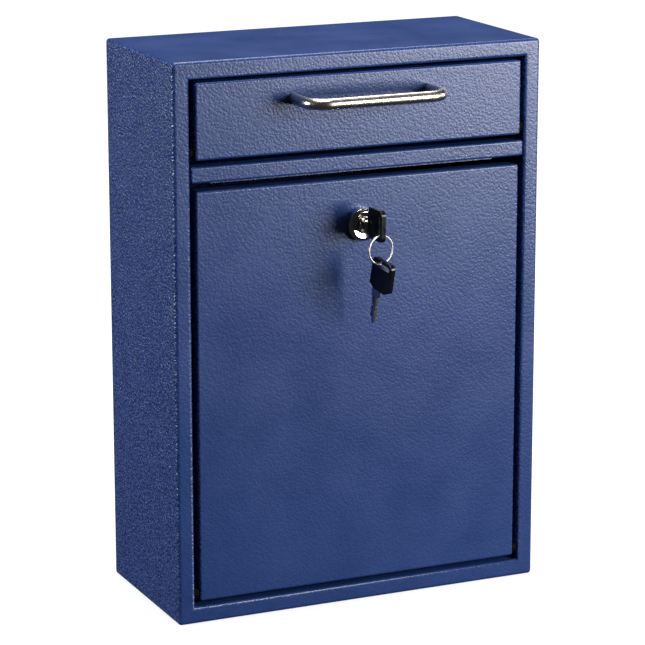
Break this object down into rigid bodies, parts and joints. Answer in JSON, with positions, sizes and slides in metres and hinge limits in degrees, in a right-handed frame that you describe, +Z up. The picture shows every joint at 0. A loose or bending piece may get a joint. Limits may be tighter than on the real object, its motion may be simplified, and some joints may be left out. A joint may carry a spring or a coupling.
{
  "type": "wall mailbox",
  "caption": "Locking sheet-steel wall mailbox with a tilt-out deposit door, a pull handle, a hinged collection door, a cam lock and its keys.",
  "frame": {"origin": "centre of the cabinet's base, on its underside", "axes": "+Z up the cabinet, +Y into the wall behind it, +X to the right of someone facing the doors"},
  "size_m": [0.2846, 0.1767, 0.405],
  "materials": {
    "paint": "textured blue powder coat",
    "handle_metal": "satin nickel",
    "lock_metal": "polished chrome",
    "hardware": "zinc plated",
    "wafers": "plain brass",
    "key_metal": "nickel plated",
    "key_plastic": "gloss black",
    "spacers": "dark nylon"
  },
  "bodies": {
    "cabinet": {"left_side_panel": "paint", "right_side_panel": "paint", "back_panel": "paint", "top_panel": "paint", "bottom_panel": "paint", "mid_rail": "paint", "strike_plate": "paint"},
    "hopper": {"handle_screw_left": "hardware", "handle_screw_right": "hardware", "handle_washer_left": "hardware", "handle_washer_right": "hardware", "hopper_door": "paint", "hopper_pin_left": "hardware", "hopper_pin_right": "hardware", "hopper_spacer_left": "spacers", "hopper_spacer_right": "spacers", "hopper_tray": "paint", "hopper_wing_left": "paint", "hopper_wing_right": "paint", "pull_handle": "handle_metal"},
    "door": {"lower_door": "paint", "lock_housing": "lock_metal", "lock_nut": "hardware", "door_pin_left": "hardware", "door_pin_right": "hardware", "door_spacer_left": "spacers", "door_spacer_right": "spacers"},
    "plug": {"lock_plug": "lock_metal", "lock_cam": "hardware", "cam_washer": "hardware", "cam_screw": "hardware", "lock_wafer_1": "wafers", "lock_wafer_2": "wafers", "lock_wafer_3": "wafers", "lock_wafer_4": "wafers", "lock_wafer_5": "wafers"},
    "key": {"key_blade": "key_metal", "key_head": "key_plastic"},
    "ring": {"key_ring": "key_metal"},
    "spare": {"spare_key_blade": "key_metal", "spare_key_head": "key_plastic"}
  },
  "joints": [
    {"name": "hopper_tilt", "type": "hinge", "parent": "cabinet", "child": "hopper", "pos_m": [0, -0.0595, 0.3413], "axis": [1, 0, 0], "range_deg": [0, 50]},
    {"name": "door_swing", "type": "hinge", "parent": "cabinet", "child": "door", "pos_m": [0, -0.0595, 0.0216], "axis": [1, 0, 0], "range_deg": [0, 110]},
    {"name": "key_turn", "type": "hinge", "parent": "door", "child": "plug", "pos_m": [0, -0.0645, 0.2812], "axis": [0, -1, 0], "range_deg": [0, 90]},
    {"name": "key_pull", "type": "slide", "parent": "plug", "child": "key", "axis": [0, -1, 0], "range_m": [0, 0.03]},
    {"name": "ring_swing", "type": "hinge", "parent": "key", "child": "ring", "pos_m": [0, -0.0976, 0.279], "axis": [0.9781, 0.2079, 0], "range_deg": [-60, 12]},
    {"name": "spare_swing", "type": "hinge", "parent": "ring", "child": "spare", "pos_m": [0, -0.0976, 0.2688], "axis": [0.2079, -0.9781, 0], "range_deg": [-80, 80]}
  ]
}
